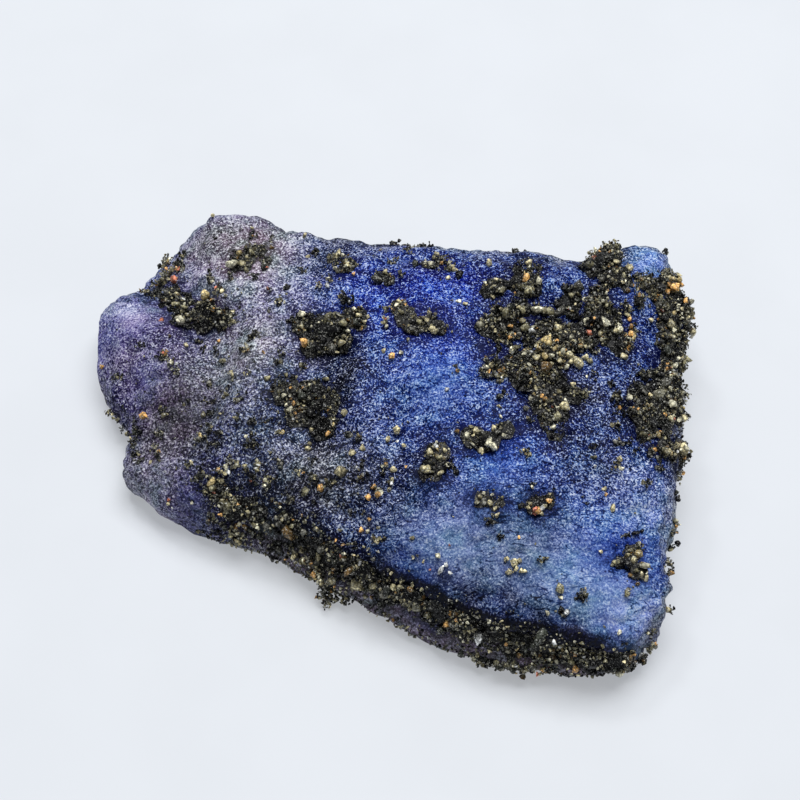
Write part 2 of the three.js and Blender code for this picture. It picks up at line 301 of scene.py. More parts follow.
def zone_colours(places):
    strays = np.array([noise.noise_vector(Vector(place) / WANDER_SIZE) for place in places.tolist()])
    strayed = places + ZONE_WANDER * strays
    colours = np.tile(BODY_BLUE, (len(places), 1))
    for x, y, reach, colour, strength in ZONES:
        weights = strength * closeness(strayed, x, y, reach)
        colours += weights[:, None] * (linear(*colour) - colours)
    return colours


# Where fine dark dust lies on the crystal: the place in the picture, reach (mm) and amount.
DUST = [
    (230, 400, 5.0, 0.75), (160, 440, 3.6, 0.8), (250, 345, 3.0, 0.5), (240, 480, 4.0, 0.6),
    (330, 480, 3.4, 0.7), (240, 250, 4.0, 0.35), (540, 370, 3.6, 0.4), (660, 400, 3.0, 0.6),
]
# Where the skin is smoother, with fainter frost, likewise.
CALM = [
    (440, 385, 2.4, 0.65), (455, 550, 3.2, 0.75), (405, 545, 2.4, 0.5), (500, 470, 2.0, 0.5),
    (540, 570, 3.4, 0.8), (610, 600, 3.4, 0.8), (640, 530, 2.4, 0.4), (128, 320, 2.8, 0.6),
    (655, 262, 1.6, 0.4), (180, 415, 2.6, 0.6), (150, 385, 1.6, 0.6), (190, 506, 1.2, 0.7),
    (150, 492, 1.3, 0.5),
]
SHADE_REACH = 0.45  # how far the deep shade spreads from the foot of a clump, mm
SHADE_END = 3  # there is none further off than this many times that


def amount_at(places, spots):
    """How much of what the spots are for there is at each place (mm), 0 to 1."""
    lacking = np.ones(len(places))
    for x, y, reach, amount in spots:
        lacking *= 1 - amount * closeness(places, x, y, reach)
    return 1 - lacking


RIM_SPREAD = np.array([1.3, 2.2])  # how far the dust and painted shade on the right and back walls come over the top
RIM_DUST = 0.55  # how thick they are, 0 to 1
# The grey tint on the right and back walls is partly their dust and partly painted shade.
RIM_COLOUR = linear(126, 132, 144)
RIM_TINT = 0.7  # and how much of this colour the crystal takes on there
LIP_SPREAD = 1.9  # how far the shade under the front lip comes over it
LIP_SHADE = 0.8  # how deep it is, 0 to 1
LIP_ENDS = (-11, 12.5)  # it fades out towards these places along X, over these distances, mm
LIP_FADES = (5, 3)
LIP_LEAST = 0.3  # and this much of it is left past them
LIP_COLOUR = linear(92, 92, 112)  # of the front wall under the lip, partly its sandy coat and partly painted shade
FOOT_COLOUR = linear(226, 220, 226)  # and of the wall's foot
FOOT_TOP = 3.4  # how far up the foot's colour starts, and the height over which it comes in, mm
FOOT_FADE = 1.6


def under_lip_at(places, facings):
    """How deep in the shade of the front lip each place (mm) is, 0 to 1."""
    shade = LIP_SHADE * np.clip(-LIP_SPREAD * facings[:, 1] - facings[:, 2], 0, 1)
    fade_left = (places[:, 0] - LIP_ENDS[0]) / LIP_FADES[0]
    fade_right = (LIP_ENDS[1] - places[:, 0]) / LIP_FADES[1]
    return shade * np.clip(np.minimum(fade_left, fade_right), LIP_LEAST, 1)


under_lip = under_lip_at(places, broad_facings)
over_rim = np.clip((RIM_SPREAD * broad_facings[:, :2]).max(axis=1) - broad_facings[:, 2], 0, 1)
# The dark specks under the front lip and on the right and back walls are partly real dust and partly
# painted shade.
edge_dust_and_shade = np.maximum(under_lip, RIM_DUST * over_rim)
float_attribute(crystal_mesh, "dust_and_shade", np.maximum(amount_at(places, DUST), edge_dust_and_shade))

# Gaps in the sand, where the crystal shows: the place in the picture, half its width and half its height
# there (pixels), and how much lighter than the shade beside the sand it is, 0 to 1.
BARE = [
    (552, 288, 12, 13, 0.7), (570, 272, 12, 13, 0.7), (536, 316, 20, 5, 0.1), (496, 303, 17, 5, 0.1),
    (507, 292, 7, 9, 0.2), (495, 350, 16, 8, 0.1), (620, 294, 12, 11, 0.1), (642, 311, 7, 8, 0.1),
    (609, 350, 7, 8, 0.1), (582, 371, 16, 6, 0.2), (650, 348, 13, 25, 0.5), (650, 263, 16, 15, 0.9),
    (650, 441, 14, 5, 0.4), (586, 296, 5, 9, 0.5), (495, 322, 5, 5, 0.1), (300, 230, 40, 9, 0.5),
    (350, 240, 50, 14, 0.5), (470, 250, 42, 9, 0.5), (545, 256, 18, 8, 0.5), (160, 500, 34, 24, 0.8),
    (136, 478, 22, 12, 0.8), (362, 607, 18, 8, 0.8), (390, 619, 18, 9, 0.8), (418, 631, 18, 10, 0.8),
    (444, 644, 18, 9, 0.8), (466, 654, 14, 6, 0.8), (182, 529, 14, 8, 0.5), (621, 551, 5, 4, 0.6),
    (623, 573, 7, 6, 0.6), (648, 558, 5, 8, 0.6), (190, 228, 26, 14, 0.5), (268, 221, 20, 10, 0.5),
    (222, 213, 26, 10, 0.5), (248, 212, 20, 10, 0.5),
]


def gap_distances(places):
    """How far each place, in metres, shows from the middle of each gap: 1 on its edge."""
    shown = picture_places(places)
    return [
        np.hypot((shown[:, 0] - x) / half_width, (shown[:, 1] - y) / half_height)
        for x, y, half_width, half_height, _ in BARE
    ]


def from_gaps(places):
    """The same from the nearest gap: less than 1 where the camera sees a place inside one."""
    return np.min(gap_distances(places), axis=0)


def light_at(places):
    """How much of the sand's shade is taken away at each place, in metres."""
    lights = [lighter for *_, lighter in BARE]
    return np.max([
        light * np.exp(-(distances**2) / 2) for light, distances in zip(lights, gap_distances(places))
    ], axis=0)


sand_nodes = [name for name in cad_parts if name.startswith("sand_")]
sand_trees = [tree_of(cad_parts[name].data) for name in sand_nodes]


def shade_at(places):
    """How deep in the shade of the sand each place (mm) is, 0 to 1."""
    shades = []
    for place in places.tolist():
        spot = Vector(place) * MM
        gaps = [tree.find_nearest(spot, SHADE_END * SHADE_REACH * MM)[3] for tree in sand_trees]
        nearest = min((gap for gap in gaps if gap is not None), default=math.inf)
        shades.append(math.exp(-nearest / (SHADE_REACH * MM)))
    return np.array(shades)


colours = np.ones((len(places), 4), dtype=np.float32)
colours[:, :3] = zone_colours(places)
colours[:, :3] += RIM_TINT * over_rim[:, None] * (RIM_COLOUR - colours[:, :3])
foot = np.clip((FOOT_TOP - places[:, 2]) / FOOT_FADE, 0, 1)[:, None]
wall_colours = LIP_COLOUR + foot * (FOOT_COLOUR - LIP_COLOUR)
colours[:, :3] += under_lip[:, None] ** 2 * (wall_colours - colours[:, :3])
zone_attribute = crystal_mesh.attributes.new("zone", "FLOAT_COLOR", "POINT")
zone_attribute.data.foreach_set("color", colours.ravel())
float_attribute(crystal_mesh, "calm", amount_at(places, CALM))
shades = shade_at(places) * (1 - light_at(places * MM))
float_attribute(crystal_mesh, "shade", np.maximum(shades, under_lip))


class Shader:
    """Short ways to add and link the nodes of one material."""

    def __init__(self, name):
        self.material = bpy.data.materials.new(name)
        self.material.use_nodes = True
        self.tree = self.material.node_tree
        self.bsdf = self.tree.nodes["Principled BSDF"]

    def node(self, kind, inputs=(), **settings):
        made = self.tree.nodes.new("ShaderNode" + kind)
        for key, value in settings.items():
            setattr(made, key, value)
        for key, value in dict(inputs).items():
            self.feed(made.inputs[key], value)
        return made

    def feed(self, socket, value):
        if isinstance(value, bpy.types.NodeSocket):
            self.tree.links.new(value, socket)
        elif isinstance(value, bpy.types.Node):
            self.tree.links.new(value.outputs[0], socket)
        else:
            socket.default_value = value

    def noise(self, place, across, detail=2.0, roughness=0.5, distortion=0.0):
        """Noise of a feature size in millimetres."""
        inputs = {"Vector": place, "Scale": 1 / (across * MM), "Detail": detail, "Roughness": roughness}
        return self.node("TexNoise", {**inputs, "Distortion": distortion}).outputs["Fac"]

    def bands(self, value, bands):
        """A colour for each band of a value, by where the band starts."""
        made = self.node("ValToRGB", {"Fac": value})
        made.color_ramp.interpolation = "CONSTANT"
        elements = made.color_ramp.elements
        while len(elements) < len(bands):
            elements.new(0.5)  # it gets its own place below
        for element, (start, colour) in zip(elements, bands):
            element.position = start
            element.color = (*colour, 1)
        return made.outputs["Color"]

    def step(self, value, low, high, to_low=0.0, to_high=1.0):
        inputs = {"Value": value, "From Min": low, "From Max": high, "To Min": to_low, "To Max": to_high}
        return self.node("MapRange", inputs, interpolation_type="SMOOTHSTEP").outputs["Result"]

    def maths(self, operation, *values):
        made = self.node("Math", operation=operation)
        for socket, value in zip(made.inputs, values):
            self.feed(socket, value)
        return made.outputs[0]

    def add(self, first, *others):
        for other in others:
            first = self.maths("ADD", first, other)
        return first

    def times(self, first, second):
        return self.maths("MULTIPLY", first, second)

    def off_middle(self, value):
        """How far noise is from its middle: 0 along thin, winding lines."""
        return self.maths("ABSOLUTE", self.maths("SUBTRACT", value, 0.5))

    def clamp(self, value):
        return self.node("Clamp", {0: value}).outputs[0]

    def mix(self, factor, first, second, blend="MIX"):
        made = self.node("Mix", data_type="RGBA", blend_type=blend)
        self.feed(made.inputs[0], factor)
        self.feed(made.inputs[6], first)
        self.feed(made.inputs[7], second)
        return made.outputs[2]


# The noise in the skin: the size of its features (mm), and its make.
SKIN_NOISE = {
    "broad": {"across": 2.4, "detail": 3},
    "middle": {"across": 0.62},
    "curls": {"across": 0.2, "detail": 0, "distortion": 0.7},
    "bends": {"across": 0.135, "detail": 0},
    "sugar": {"across": 0.105, "detail": 1},
    "hue": {"across": 1.3, "detail": 3, "roughness": 0.6},
    "specks": {"across": 0.15, "roughness": 0.6},
}
WRINKLE_NOISE = {"across": 0.34, "detail": 1}
# Smooth steps: from where to where in the noise or the attribute, and what they give at each end.
TEAL_TINT = (0.90, 1.03, 0.93, 1)
TEAL_STEP = (0.48, 0.66)
VIOLET_TINT = (1.05, 0.96, 1.00, 1)
VIOLET_STEP = (0.52, 0.34)
WRINKLE_STRETCH = (0.3, 1, 1)  # the fine dark wrinkles run along X
WRINKLE_STEP = (0.0, 0.04, -0.38, 0.0)
WRINKLED_PARTS = (0.46, 0.58)  # of the broad noise
THREAD_STEP = (0.0, 0.06, 0.5, -0.12)  # pale threads
CRACK_STEP = (0.0, 0.11, -0.34, 0.1)  # dark ones
FLECK_STEP = (0.25, 0.75, -0.4, 0.4)
PATCH_STEP = (0.3, 0.7, -0.16, 0.16)
CALM_STEP = (0.0, 1.0, 1.0, 0.3)  # how much of the frost's pattern is left where the skin is calm
SHADE_CALM = 0.25  # shade calms it this much
SHADE_DEPTH = 0.5  # and takes this much of the frost away
CALM_FROST = 0.12  # what calm skin has more of it
FROST_LEVEL = 0.56  # what all the skin has
DEEPEST = 2.3  # powers of the zone's colour, in the clear body and in the frost
PALEST = 0.55
DARKENING = (0.45, 0.42, 0.36, 1)  # of the deepest body
DARK_STEP = (0.1, 0.5, 1.0, 0.0)
# The frost's white is partly its own pale colour and partly painted glints.
FROST_WHITE = (0.82, 0.85, 0.87, 1)
FROST_TINT = 0.32  # the power of the zone's colour that tints the white frost
FROST_NEUTRAL = 0.6  # the share of plain white in the frost's colour
WHITE_STEP = (0.05, 0.75, 0.0, 0.75)
PATCH_WHITE = 0.3
DUST_EDGE = (0.0, 1.0, 0.72, 0.47)  # the noise that dust starts at, where it is thinnest and thickest
DUST_SHARPNESS = 16.0
DUST_COVER = 0.7  # how much a speck hides
DUST_COLOUR = (0.010, 0.010, 0.012, 1)
SKIN_ROUGHNESS = (0.0, 1.0, 0.5, 0.25)
SAPPHIRE_IOR = 1.77
SKIN_GLOSS = 0.04
FROST_RELIEF = 0.3
SKIN_BUMP = {"Strength": 0.8, "Distance": 0.05 * MM}


def crystal_material():
    sh = Shader("frosted_sapphire")
    place = sh.node("TexCoord").outputs["Object"]
    zone = sh.node("Attribute", attribute_name="zone").outputs["Color"]
    dust_and_shade = sh.node("Attribute", attribute_name="dust_and_shade").outputs["Fac"]
    shade = sh.node("Attribute", attribute_name="shade").outputs["Fac"]
    calm = sh.node("Attribute", attribute_name="calm").outputs["Fac"]
    skin = {name: sh.noise(place, **make) for name, make in SKIN_NOISE.items()}
    stretched = sh.node("Mapping", {"Vector": place, "Scale": WRINKLE_STRETCH})
    wrinkles = sh.noise(stretched, **WRINKLE_NOISE)
    zone = sh.mix(sh.step(skin["hue"], *TEAL_STEP), zone, TEAL_TINT, "MULTIPLY")
    zone = sh.mix(sh.step(skin["hue"], *VIOLET_STEP), zone, VIOLET_TINT, "MULTIPLY")

    # Short bent threads and flecks of frost, over soft patches of lighter and deeper colour. Their white
    # is partly the frost's own pale colour and partly painted glints off its facets.
    wrinkle = sh.step(sh.off_middle(wrinkles), *WRINKLE_STEP)
    wrinkle = sh.times(wrinkle, sh.step(skin["broad"], *WRINKLED_PARTS))
    thread = sh.step(sh.off_middle(skin["curls"]), *THREAD_STEP)
    crack = sh.step(sh.off_middle(skin["bends"]), *CRACK_STEP)
    strength = sh.step(sh.add(calm, sh.times(shade, SHADE_CALM)), *CALM_STEP)
    crisp = sh.times(sh.add(thread, crack, sh.step(skin["sugar"], *FLECK_STEP)), strength)
    crisp = sh.add(crisp, wrinkle)
    patches = sh.add(sh.step(skin["middle"], *PATCH_STEP), sh.step(skin["broad"], *PATCH_STEP))
    patches = sh.times(patches, sh.step(calm, *CALM_STEP))
    patches = sh.maths("SUBTRACT", patches, sh.times(shade, SHADE_DEPTH))
    patches = sh.add(patches, sh.times(calm, CALM_FROST))
    frost = sh.clamp(sh.add(crisp, patches, FROST_LEVEL))

    # The clear body is deep in colour. The frost is pale.
    depth = sh.step(frost, 0.0, 1.0, DEEPEST, PALEST)
    body = sh.node("Gamma", {"Color": zone, "Gamma": depth}).outputs[0]
    body = sh.mix(sh.step(frost, *DARK_STEP), body, sh.mix(1.0, body, DARKENING, "MULTIPLY"))
    tint = sh.node("Gamma", {"Color": zone, "Gamma": FROST_TINT}).outputs[0]
    white = sh.step(sh.add(crisp, sh.times(patches, PATCH_WHITE)), *WHITE_STEP)
    frosted = sh.mix(white, body, sh.mix(FROST_NEUTRAL, tint, FROST_WHITE))

    # Fine dark dust caught in the frost. Under the front lip and on the right and back walls its specks
    # are partly real dust and partly painted shade.
    speck = sh.maths("SUBTRACT", skin["specks"], sh.step(dust_and_shade, *DUST_EDGE))
    speck = sh.clamp(sh.times(speck, DUST_SHARPNESS))
    dusty = sh.mix(sh.times(speck, DUST_COVER), frosted, DUST_COLOUR)

    sh.feed(sh.bsdf.inputs["Base Color"], dusty)
    sh.feed(sh.bsdf.inputs["Roughness"], sh.step(frost, *SKIN_ROUGHNESS))
    sh.feed(sh.bsdf.inputs["IOR"], SAPPHIRE_IOR)
    sh.feed(sh.bsdf.inputs["Specular IOR Level"], SKIN_GLOSS)
    height = sh.add(skin["curls"], sh.times(frost, FROST_RELIEF))
    sh.feed(sh.bsdf.inputs["Normal"], sh.node("Bump", {**SKIN_BUMP, "Height": height}).outputs["Normal"])
    return sh.material


crystal_mesh.materials.clear()
crystal_mesh.materials.append(crystal_material())

# ---------------------------------------------------------------- sand grains

GRAIN_SHAPES = 60
GRAIN_CORNERS = (7, 11)  # fewest and most in a small grain
PEBBLE_CORNERS = (12, 18)  # and in a big, rounded one
PEBBLE_SIZE = 0.34  # grains bigger than this are rounded, mm
PEBBLE_MOST = 0.95  # the biggest
PEBBLE_POWER = 1.6  # the higher this is, the fewer of them are near the biggest
CORNER_REACH = (0.74, 1.05)  # how far a grain's corners lie from its middle, against its radius
GRAIN_SIDES = (0.62, 1.0)  # how much a grain is squeezed along each of its own axes
NEIGHBOUR_CELL = 0.3  # grains are kept apart from those in the same and the next cells of this size, mm
GLINT_COLOUR = (0.74, 0.74, 0.68, 1)  # painted glints: little bright faces painted into the grains' colour
COLOURED_LEAST = 0.24  # smaller grains are never tan, orange, red or white, mm
SMALL_TONES = 0.8  # as their tones are scaled by this
COLOURED_MOST = 0.4  # bigger ones are never orange, red or white, mm
BIG_TONES = 0.96  # as theirs are by this
TONE_DRIFT = 3.0  # how much lighter or darker some knots are than others
TONE_PATCH = 1.1  # mm
# The look of the grains: sizes in mm, and smooth steps as above.
CRACKLE_SIZE = 0.2  # of the little crystals that the grains are made of
MOTTLE_SIZE = 0.11
GLINT_NOISE = {"across": 0.075, "detail": 1}
GLINT_STEP = (0.60, 0.68, 0.0, 0.75)
GLINT_BY_TONE = (0.1, 0.6, 0.4, 0.85)
LIGHT_BY_GRAIN = (0, 1, 0.6, 1.5)
LIGHT_BY_MOTTLE = (0.3, 0.7, 0.6, 1.45)
LIGHT_BY_CRYSTAL = (0, 1, 0.5, 1.7)
LIGHT_BY_EDGE = (0.0, 0.22, 0.4, 1.1)
GRAIN_ROUGHNESS = (0, 1, 0.5, 0.2)
GRAIN_GLOSS = 0.2
GRAIN_BUMP = {"Strength": 0.6, "Distance": 0.03 * MM}
# Kinds of grain: where each starts on the scale of tones, 0 to 1, and its colour.
GRAIN_KINDS = {
    "black": (0.0, (0.004, 0.004, 0.005)),
    "dark_green": (0.32, (0.030, 0.033, 0.026)),
    "grey": (0.50, (0.12, 0.117, 0.098)),
    "olive": (0.65, (0.20, 0.184, 0.108)),
    "brown": (0.785, (0.10, 0.062, 0.024)),
    "tan": (0.80, (0.40, 0.355, 0.21)),
    "honey": (0.89, (0.43, 0.34, 0.16)),
    "pale": (0.90, (0.56, 0.535, 0.39)),
    "orange": (0.968, (0.64, 0.36, 0.12)),
    "red": (0.985, (0.44, 0.15, 0.09)),
    "white": (0.990, (0.56, 0.57, 0.56)),
}


def grain_shape(corners):
    """A convex stone of unit radius: its corner places and its triangles."""
    points = rng.normal(size=(corners, 3))
    points /= np.linalg.norm(points, axis=1)[:, None]
    bm = bmesh.new()
    for point in points * rng.uniform(*CORNER_REACH, size=(corners, 1)):
        bm.verts.new(point)
    bmesh.ops.convex_hull(bm, input=bm.verts)
    bmesh.ops.delete(bm, geom=[v for v in bm.verts if not v.link_faces], context="VERTS")
    bmesh.ops.triangulate(bm, faces=bm.faces)
    bm.verts.index_update()
    made = np.array([v.co for v in bm.verts]), np.array([[v.index for v in f.verts] for f in bm.faces])
    bm.free()
    return made


grain_shapes = [grain_shape(rng.integers(*GRAIN_CORNERS)) for _ in range(GRAIN_SHAPES)]
pebble_shapes = [grain_shape(rng.integers(*PEBBLE_CORNERS)) for _ in range(GRAIN_SHAPES)]


def random_turn():
    """A random rotation, as a matrix."""
    q = rng.normal(size=4)
    w, x, y, z = q / np.linalg.norm(q)
    return np.array([
        [1 - 2 * (y * y + z * z), 2 * (x * y - z * w), 2 * (x * z + y * w)],
        [2 * (x * y + z * w), 1 - 2 * (x * x + z * z), 2 * (y * z - x * w)],
        [2 * (x * z - y * w), 2 * (y * z + x * w), 1 - 2 * (x * x + y * y)],
    ])


class Heap:
    """Grains gathered into one mesh."""

    def __init__(self):
        self.points, self.faces, self.tones, self.shades, self.smooth = [], [], [], [], []
        self.count = 0

    def add_faces(self, points, faces, tone, shade, smooth=False):
        self.smooth.append(np.full(len(faces), smooth))
        self.points.append(points)
        self.faces.append(faces + self.count)
        self.tones.append(np.full(len(points), tone))
        self.shades.append(np.full(len(points), shade))
        self.count += len(points)

    def add_grain(self, place, size, stretch=1.0, tone=None, shade=None, lift=0.0):
        rounded = size > PEBBLE_SIZE * MM
        shapes = pebble_shapes if rounded else grain_shapes
        points, faces = shapes[rng.integers(len(shapes))]
        sides = rng.uniform(*GRAIN_SIDES, size=3)
        sides[0] *= stretch
        points = (points * sides * size / 2) @ random_turn().T + place
        if tone is None:
            drift = lift + TONE_DRIFT * noise.noise(Vector(place) / (TONE_PATCH * MM))
            tone = rng.random() ** math.exp(-drift)
            if size < COLOURED_LEAST * MM:
                tone *= SMALL_TONES
            elif size > COLOURED_MOST * MM:
                tone *= BIG_TONES
        self.add_faces(points, faces, tone, rng.random() if shade is None else shade, rounded)

    def mesh(self, name):
        lowest, highest = np.array(cad_box[0]), np.array(cad_box[1])
        points = np.clip(np.concatenate(self.points), lowest, highest)
        mesh = bpy.data.meshes.new(name)
        mesh.from_pydata(points.tolist(), [], np.concatenate(self.faces).tolist())
        mesh.polygons.foreach_set("use_smooth", np.concatenate(self.smooth))
        float_attribute(mesh, "tone", np.concatenate(self.tones))
        float_attribute(mesh, "shade", np.concatenate(self.shades))
        return mesh


def grain_sizes(count, usual=0.215, spread=0.34, least=0.09, most=0.34, pebbles=0.022):
    """Grain diameters in metres, most of them near the usual one, with a share of pebbles."""
    sizes = np.clip(usual * np.exp(spread * rng.normal(size=count)), least, most)
    big = rng.random(count) < pebbles
    sizes[big] = PEBBLE_SIZE + (PEBBLE_MOST - PEBBLE_SIZE) * rng.random(big.sum()) ** PEBBLE_POWER
    return sizes * MM


def spaced(places, sizes, crowding):
    """The indices of places that keep clear of the ones before them."""
    taken = {}
    kept = []
    for index, (place, size) in enumerate(zip(places, sizes)):
        key = tuple(np.floor(place / (NEIGHBOUR_CELL * MM)).astype(int))
        near = (
            other
            for dx in (-1, 0, 1) for dy in (-1, 0, 1) for dz in (-1, 0, 1)
            for other in taken.get((key[0] + dx, key[1] + dy, key[2] + dz), ())
        )
        if all(np.sum((places[o] - place) ** 2) > (crowding * (sizes[o] + size) / 2) ** 2 for o in near):
            taken.setdefault(key, []).append(index)
            kept.append(index)
    return kept


def grain_material():
    sh = Shader("sand_grains")
    tone = sh.node("Attribute", attribute_name="tone").outputs["Fac"]
    shade = sh.node("Attribute", attribute_name="shade").outputs["Fac"]
    place = sh.node("TexCoord").outputs["Object"]
    mottle = sh.noise(place, MOTTLE_SIZE)
    kinds = sh.bands(tone, list(GRAIN_KINDS.values()))
    crackle = {"Vector": place, "Scale": 1 / (CRACKLE_SIZE * MM)}
    crystals = sh.node("TexVoronoi", crackle).outputs["Color"]
    crystals = sh.node("SeparateColor", {0: crystals}).outputs[0]
    edges = sh.node("TexVoronoi", crackle, feature="DISTANCE_TO_EDGE").outputs["Distance"]
    light = sh.times(sh.step(shade, *LIGHT_BY_GRAIN), sh.step(mottle, *LIGHT_BY_MOTTLE))
    light = sh.times(light, sh.step(crystals, *LIGHT_BY_CRYSTAL))
    light = sh.times(light, sh.step(edges, *LIGHT_BY_EDGE))
    colour = sh.mix(1.0, kinds, sh.node("CombineColor", {0: light, 1: light, 2: light}), "MULTIPLY")
    # Painted glints: bright specks mixed into the grains' base colour, fewer on the dark grains.
    glint = sh.step(sh.noise(place, **GLINT_NOISE), *GLINT_STEP)
    glint = sh.times(glint, sh.step(tone, *GLINT_BY_TONE))
    sh.feed(sh.bsdf.inputs["Base Color"], sh.mix(glint, colour, GLINT_COLOUR))
    sh.feed(sh.bsdf.inputs["Roughness"], sh.step(shade, *GRAIN_ROUGHNESS))
    sh.feed(sh.bsdf.inputs["Specular IOR Level"], GRAIN_GLOSS)
    sh.feed(sh.bsdf.inputs["Normal"], sh.node("Bump", {**GRAIN_BUMP, "Height": mottle}).outputs["Normal"])
    return sh.material


sand_material = grain_material()


def add_sand(name, heap):
    mesh = heap.mesh(name)
    mesh.materials.append(sand_material)
    piece = add_object(name, mesh)
    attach(piece, "root")
    return piece


GRAINS_PER_MM2 = 150
CROWDING = 0.62  # how near two grains' middles come, against their size
CORE_DEPTH = 0.22  # the core under the grains, black as painted shade between them, mm below the clump's skin
CORE_SINK = 0.15  # and how far it is lowered from there, past the carving, as a share
BARE_SINK = 1.5  # the same where the crystal shows between the grains, so that the core is inside it
CORE_GAP = 1.25  # that is up to this far from a gap's middle, where 1 is its edge
LAYER = 0.16  # the depth over which the grains lie, mm
GRAIN_DEPTH = 0.4  # and how far below the clump's skin their middles start, as a share of their size
CARVING = 0.8  # how deep the gaps between knots of grains go, as a share of the way to the crystal
KNOT_SIZE = 0.75  # how far apart the knots are, mm
GAP_LEVEL = 0.3  # the noise below which the gaps start, and how steeply they go down
GAP_STEEPNESS = 1.8
SKIRT_SHARE = 0.14  # grains round a clump's foot, against the clump's own
SKIRT_SPREAD = 0.45  # mm
SKIRT_SIZES = (0.6, 1)  # how big they are against those
CORE_TONE = 0.01  # black: painted shade that shows between the grains
DEEP_GAP = 0.42  # grains carved deeper than this share are black: painted shade deep in the gaps
GAP_TONE = 0.02
KNOT_LIFT = 0.9  # how much lighter the tops of the knots are than their sides, as painted light and shade
SMALL_CLUMP = 12  # clumps with less skin than this are lighter, mm2
SMALL_LIFT = 0.6  # by this much
LIGHTER_PIECES = {"sand_crust_right_edge": 0.4, "sand_patch_upper_right": 0.08}  # as are these
SEAT = 0.25  # a grain's middle stands this share of its size above what carries it
TOUCH = 0.42  # a grain reaches this share of its size all round its middle
THIN_EDGE = 0.6  # grains at a clump's thin edge are this much smaller
BURIED = 0.12  # grains that would lie deeper than this in the crystal are left out, mm


def carving_at(place):
    """How far towards the crystal the grains lie at a place on the clump's skin, as a share."""
    depth = GAP_LEVEL - GAP_STEEPNESS * noise.noise(Vector(place) / (KNOT_SIZE * MM))
    return CARVING * min(max(depth, 0), 1)


def feet_of(places):
    """The place on the crystal nearest to each place."""
    return np.array([crystal_tree.find_nearest(place)[0] for place in places])


def set_on_crystal(place, size):
    """The middle of a grain that rests on the crystal nearest to a place."""
    spot, facing, _, _ = crystal_tree.find_nearest(place)
    return np.array(spot + facing * size * SEAT)


def height_on_crystal(place):
    """How far a place lies above the crystal's skin, less than nothing inside it."""
    spot, facing, _, _ = crystal_tree.find_nearest(place)
    return (Vector(place) - spot).dot(facing)


def heights_on_crystal(places):
    return np.array([height_on_crystal(place) for place in places])


def clear_of_crystal(place, size):
    """The place itself, or one that is moved up out of the crystal."""
    return place if height_on_crystal(place) > SEAT * size else set_on_crystal(place, size)


def finer(points, faces):
    """The same triangles, each cut in four."""
    bm = bmesh.new()
    made = [bm.verts.new(point) for point in points]
    for face in faces:
        bm.faces.new([made[index] for index in face])
    bmesh.ops.subdivide_edges(bm, edges=bm.edges, cuts=1, use_grid_fill=True)
    bmesh.ops.triangulate(bm, faces=bm.faces)
    bm.verts.index_update()
    cut = np.array([v.co for v in bm.verts]), np.array([[v.index for v in f.verts] for f in bm.faces])
    bm.free()
    return cut


def carried(middles, sizes, kept, core_tree):
    """The grains among those kept that rest on the crystal or the core, or on others that do."""
    near = KDTree(len(kept))
    for number, index in enumerate(kept):
        near.insert(middles[index], number)
    near.balance()
    firm = []
    for number, index in enumerate(kept):
        gap = core_tree.find_nearest(middles[index])[3]
        if min(gap, height_on_crystal(middles[index])) < TOUCH * sizes[index]:
            firm.append(number)
    found = set(firm)
    while firm:
        number = firm.pop()
        index = kept[number]
        for _, other, gap in near.find_range(middles[index], TOUCH * (sizes[index] + PEBBLE_MOST * MM)):
            if other not in found and gap < TOUCH * (sizes[index] + sizes[kept[other]]):
                found.add(other)
                firm.append(other)
    return [kept[number] for number in sorted(found)]


def clump_core(mesh):
    """The core under a clump's grains, which follows the gaps between the knots. It is black: painted
    shade that shows between the grains.
    """
    inside, faces = finer(coordinates(mesh) - normals(mesh) * CORE_DEPTH * MM, triangles(mesh))
    sink = np.array([CORE_SINK + carving_at(place) for place in inside.tolist()])
    bare_sink = np.where(heights_on_crystal(inside) < 0, 0, BARE_SINK)
    sink = np.where(from_gaps(inside) < CORE_GAP, bare_sink, sink)
    return inside + sink[:, None] * (feet_of(inside) - inside), faces


